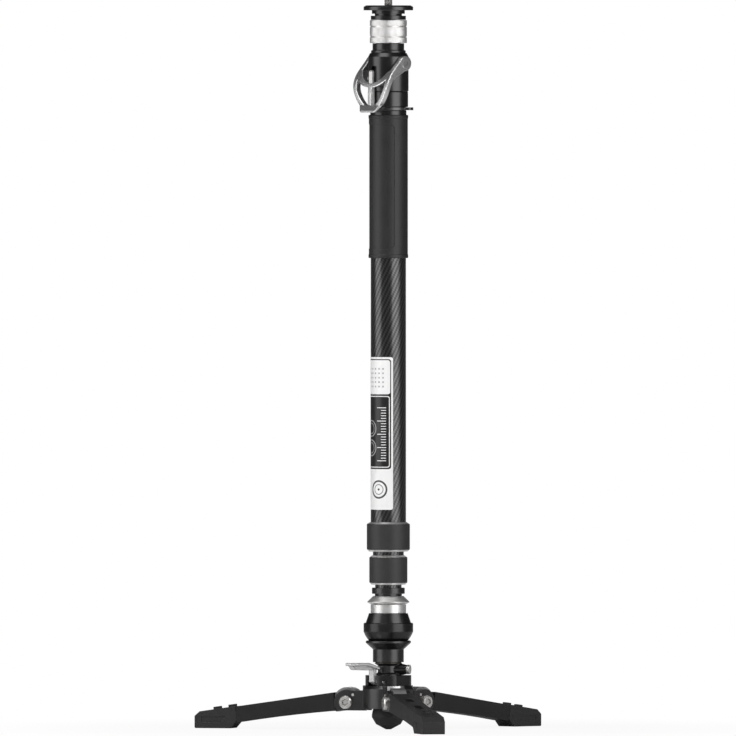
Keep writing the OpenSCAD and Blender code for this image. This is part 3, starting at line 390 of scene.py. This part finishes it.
def threadedStud():
    # radius falls from the crest by a thread wave of (height - pitch * turn), cut by a chamfer on top
    stud = {
        "crest": 4.7625 * mm, "pitch": 1.5875 * mm, "depth": 0.86 * mm, "root": 5.7 * mm,
        "chamfer": 0.9 * mm, "slope": 1.25, "crestFlat": 0.12, "sink": 0.02 * mm, "round": 64, "perPitch": 12}
    low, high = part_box("camera_stud")
    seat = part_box("platform")[1].z
    steps = int((high.z - seat) / stud["pitch"] * stud["perPitch"])
    turn = np.arange(stud["round"])[None, :] * 2 * pi / stud["round"]
    height = np.linspace(seat, high.z, steps)[:, None]
    wave = np.abs((height / stud["pitch"] - turn / (2 * pi)) % 1.0 - 0.5) * 2
    radius = stud["crest"] - stud["depth"] * np.clip(stud["slope"] * wave - stud["crestFlat"], 0, 1)
    radius = np.minimum(radius, stud["crest"] - stud["chamfer"] + (high.z - height))
    rootHeight = np.array([[low.z], [seat - stud["sink"]]])
    root = roundPoints(stud["root"], rootHeight, turn)
    points = np.concatenate([root, roundPoints(radius, height, turn)])
    sides = gridFaces(steps + 2, stud["round"]).tolist()
    last = (steps + 1) * stud["round"]
    caps = [list(range(stud["round"]))[::-1], list(range(last, last + stud["round"]))]
    made = newPiece("threadedStud", points, sides + caps, boltSteel, "platform", False)
    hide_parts("camera_stud")


knurledRing()
threadedStud()
print("turned pieces: knurled ring, threaded stud")


def labelFinish(width, tall):
    # printed card in millimetres along the arc (a) and up the tube (h): plain cards, dots, ticks and rings
    paper, ink, faded, targetInk = grey(0.93, 0.003), grey(0.012), grey(0.42), grey(0.05)
    soft = 0.12
    # side margin, bottom, top and corner of each card
    cards = {
        "frame": (2.2, 46.0, tall - 2.2, 3.2), "top": (3.4, tall - 42.0, tall - 3.4, 2.6),
        "line": (3.8, 47.8, tall - 44.0, 2.8), "dark": (4.7, 48.7, tall - 44.9, 2.2)}
    dot = {"left": 9, "right": 39, "bottom": 137, "top": 162, "corner": 0.5, "gap": 5.0, "radius": 1.1}
    tick = {
        "left": 8, "right": 30, "bottom": 54, "top": 117, "corner": 0.4, "gap": 3.0, "half": 0.42,
        "long": 5, "short": 6.0, "longer": 5.0, "soft": 0.05}
    # centre, radius and half the line's width of each ring
    sweeps = [(30, 70, 9, 0.55), (30, 70, 6, 0.35), (30, 92, 9, 0.55), (30, 92, 6, 0.35)]
    targets = [(17, 23, 9.5, 1.0), (17, 23, 5.5, 0.4), (17, 23, 0.1, 1.2)]
    gloss = {
        "cloud": 260, "cloudDetail": 3.0, "depth": 0.004 * mm, "strength": 0.3, "rough": 0.34,
        "roughMore": 0.1, "coat": 0.15}
    made, start = newFinish("labelPrint")
    a, h = start.node("Attribute", {"attribute_name": "labelMm"}, out="Vector").parts()[:2]

    def length(x, y):
        return start.math("SQRT", x * x + y * y)

    def block(a0, a1, h0, h1, corner):
        # distance to a rounded rectangle: length of what lies past the corner box, less the corner
        pastA = start.math("MAXIMUM", abs(a - (a0 + a1) / 2) - ((a1 - a0) / 2 - corner), 0.0)
        pastH = start.math("MAXIMUM", abs(h - (h0 + h1) / 2) - ((h1 - h0) / 2 - corner), 0.0)
        return length(pastA, pastH).below(corner, soft)

    def card(name):
        margin, bottom, top, corner = cards[name]
        return block(margin, width - margin, bottom, top, corner)

    def field(box):
        return block(box["left"], box["right"], box["bottom"], box["top"], box["corner"])

    def ring(centreA, centreH, radius, line):
        return abs(length(a - centreA, h - centreH) - radius).below(line, soft)

    dotA = (a - dot["left"]) % dot["gap"] - dot["gap"] / 2
    dotH = (h - dot["bottom"]) % dot["gap"] - dot["gap"] / 2
    dots = length(dotA, dotH).below(dot["radius"], soft) * field(dot)
    rise = h - tick["bottom"]
    isLong = (rise % (tick["gap"] * tick["long"])).below(tick["gap"], tick["soft"])
    reach = tick["short"] + isLong * tick["longer"]
    ticks = abs(rise % tick["gap"] - tick["gap"] / 2).below(tick["half"], soft)
    ticks = ticks * start.math("LESS_THAN", a - tick["left"], reach) * field(tick)
    darkCard = card("dark")
    colour = card("frame").blend(paper, ink)
    colour = card("top").blend(colour, paper)
    colour = dots.blend(colour, faded)
    colour = card("line").blend(colour, paper)
    colour = darkCard.blend(colour, ink)
    colour = ticks.blend(colour, paper)
    colour = (sum(ring(*spec) for spec in sweeps) * darkCard).blend(colour, faded)
    colour = sum(ring(*spec) for spec in targets).blend(colour, targetInk)
    cloud = start.node("TexCoord", out="Object").noise(gloss["cloud"], gloss["cloudDetail"])
    wave = {"Strength": gloss["strength"], "Distance": gloss["depth"], "Height": cloud}
    surface(
        start, Base_Color=colour, Roughness=gloss["rough"] + cloud * gloss["roughMore"],
        Coat_Weight=gloss["coat"], Normal=start.node("Bump", values=wave))
    return made


def tubeLabel():
    # a thin card bent round the outer tube: arc and height from a grid, drawn in near its rounded corners
    label = {
        "width": 48.0, "bottom": 249.0, "tall": 172.8, "corner": 2.6, "thick": 0.09, "rightEdge": 15.4,
        "radius": 20.03, "facing": 47.0, "across": 72, "up": 140}
    width, tall, corner, radius = label["width"], label["tall"], label["corner"], label["radius"]
    u = np.linspace(0, 1, label["across"])[None, :]
    v = np.linspace(0, 1, label["up"])[:, None]
    # rows lie closer together towards the two ends
    h = (0.5 - 0.5 * np.cos(pi * v)) * tall
    cornerDrop = np.clip(corner - np.minimum(h, tall - h), 0, None)
    inset = corner - np.sqrt(corner ** 2 - cornerDrop ** 2)
    a = inset + u * (width - 2 * inset)
    turn = radians(label["facing"] - 90 + label["rightEdge"]) - a / radius
    height = (label["bottom"] + h) * mm
    sheets = [roundPoints((radius + t) * mm, height, turn) for t in (0, label["thick"])]
    count = label["up"] * label["across"]
    index = np.arange(count).reshape(label["up"], label["across"])
    back = np.stack([index[:-1, :-1], index[:-1, 1:], index[1:, 1:], index[1:, :-1]], -1).reshape(-1, 4)
    rim = np.concatenate([index[0, :-1], index[:-1, -1], index[-1, :0:-1], index[:0:-1, 0]])
    rimAfter = np.roll(rim, -1)
    walls = np.stack([rim, rim + count, rimAfter + count, rimAfter], -1)
    faces = np.concatenate([back, back[:, ::-1] + count, walls])
    made = newPiece(
        "tubeLabel", np.concatenate(sheets), faces.tolist(), labelFinish(width, tall), "upper")
    spots = np.stack(np.broadcast_arrays(a, h, np.zeros_like(h)), -1).reshape(-1, 3)
    attribute = made.data.attributes.new("labelMm", "FLOAT_VECTOR", "POINT")
    attribute.data.foreach_set("vector", np.concatenate([spots, spots]).astype(np.float32).ravel())


tubeLabel()
print("label on the outer tube")


def cameraAndLight():
    # a long lens, tall soft boxes to the left and right of it, one above, and two fills without gloss
    shot = {
        "azimuth": 47.0, "elevation": 0.72, "away": 30.0, "across": 0.8336, "sensor": 36.0, "seesTo": 200.0,
        "target": (-0.01572, -0.01686, 0.4093)}
    boxes = {
        "leftBox": {
            "swing": -70, "away": 1.35, "high": 0.55, "aim": 0.55, "size": (1.0, 1.9), "bright": 1.7},
        "rightBox": {
            "swing": 47, "away": 1.35, "high": 0.55, "aim": 0.55, "size": (1.15, 1.9), "bright": 2.1},
        "topBox": {
            "swing": -40, "away": 1.0, "high": 2.0, "aim": 0.5, "size": (1.2, 1.2), "bright": 2.2},
        "frontFill": {
            "swing": -25, "away": 2.0, "high": 0.7, "aim": 0.7, "size": (1.2, 1.2), "bright": 1.55,
            "gloss": False},
        "backBox": {
            "swing": 180, "away": 1.6, "high": 0.6, "aim": 0.6, "size": (1.3, 1.8), "bright": 1.0,
            "gloss": False},
    }
    turn, rise = radians(shot["azimuth"]), radians(shot["elevation"])
    toCamera = Vector((sin(turn) * cos(rise), -cos(turn) * cos(rise), sin(rise)))
    lens = bpy.data.cameras.new("photoCamera")
    lens.sensor_width = shot["sensor"]
    lens.lens = shot["sensor"] * shot["away"] / shot["across"]
    lens.clip_end = shot["seesTo"]
    camera = bpy.data.objects.new("photoCamera", lens)
    camera.location = Vector(shot["target"]) + toCamera * shot["away"]
    camera.rotation_mode = "QUATERNION"
    camera.rotation_quaternion = (-toCamera).to_track_quat("-Z", "Y")
    bpy.context.scene.collection.objects.link(camera)
    bpy.context.scene.camera = camera
    for name, box in boxes.items():
        lamp = bpy.data.lights.new(name, "AREA")
        lamp.shape = "RECTANGLE"
        lamp.size, lamp.size_y = box["size"]
        lamp.energy = box["bright"] * pi * lamp.size * lamp.size_y
        made = bpy.data.objects.new(name, lamp)
        way = turn + radians(box["swing"])
        made.location = (sin(way) * box["away"], -cos(way) * box["away"], box["high"])
        aim = Vector((0, 0, box["aim"])) - made.location
        made.rotation_mode = "QUATERNION"
        made.rotation_quaternion = aim.to_track_quat("-Z", "Y")
        made.visible_camera = False
        made.visible_glossy = box.get("gloss", True)
        bpy.context.scene.collection.objects.link(made)
    return toCamera


def whiteRoom(toCamera):
    # white for the camera; for reflections white behind the object, a grey ceiling and a dim camera side
    room = {
        "dim": 0.04, "fill": 0.17, "backFrom": -0.94, "backTo": -0.985,
        "ceiling": 0.25, "ceilingFrom": 0.75, "ceilingTo": 0.95}
    world = bpy.data.worlds.new("whiteRoom")
    world.use_nodes = True
    world.node_tree.nodes.clear()
    start = Wire(world.node_tree)
    isCamera = start.node("LightPath", out="Is Camera Ray")
    isGlossy = start.node("LightPath", out="Is Glossy Ray")
    way = start.node("TexCoord", out="Generated")
    facing = start.node("VectorMath", {"operation": "DOT_PRODUCT"}, {0: way, 1: tuple(toCamera)}, "Value")
    behind = facing.fade(room["backTo"], room["backFrom"])
    above = 1 - way.parts()[2].fade(room["ceilingFrom"], room["ceilingTo"])
    seen = room["dim"] + behind * (1 - room["dim"]) + above * (room["ceiling"] - room["dim"])
    strength = isCamera + (1 - isCamera) * (isGlossy * seen + (1 - isGlossy) * room["fill"])
    glow = start.node("Background", values={"Color": (1, 1, 1, 1), "Strength": strength})
    start.node("OutputWorld", values={"Surface": glow})
    bpy.context.scene.world = world


def paleFloor():
    # pale floor: its own shading with the shadow near the object, white for the camera further out
    floor = {"size": 60.0, "pale": grey(0.82), "glow": 0.9, "near": 0.2, "far": 0.6, "drop": 0.05 * mm}
    made, start = newFinish("paleFloor")
    place = start.node("TexCoord", out="Object")
    away = start.node("VectorMath", {"operation": "LENGTH"}, {0: place}, "Value")
    nearby = away.fade(floor["near"], floor["far"])
    isCamera = start.node("LightPath", out="Is Camera Ray")
    plain = start.node("BsdfDiffuse", values={"Color": floor["pale"]})
    white = start.node("Emission", values={"Color": (1, 1, 1, 1), "Strength": 1.0})
    share = isCamera * (1 - nearby * (1 - floor["glow"]))
    mixed = start.node("MixShader", values={0: share, 1: plain, 2: white})
    start.node("OutputMaterial", values={"Surface": mixed})
    corner = floor["size"] / 2
    points = np.array([(-corner, -corner), (corner, -corner), (corner, corner), (-corner, corner)])
    points = np.concatenate([points, np.full((4, 1), -floor["drop"])], 1)
    mesh = bpy.data.meshes.new("paleFloor")
    mesh.from_pydata(points, [], [(0, 1, 2, 3)])
    mesh.materials.append(made)
    sheet = bpy.data.objects.new("paleFloor", mesh)
    bpy.context.scene.collection.objects.link(sheet)


whiteRoom(cameraAndLight())
paleFloor()
bpy.context.scene.view_settings.view_transform = "Standard"
print("camera, light and floor")
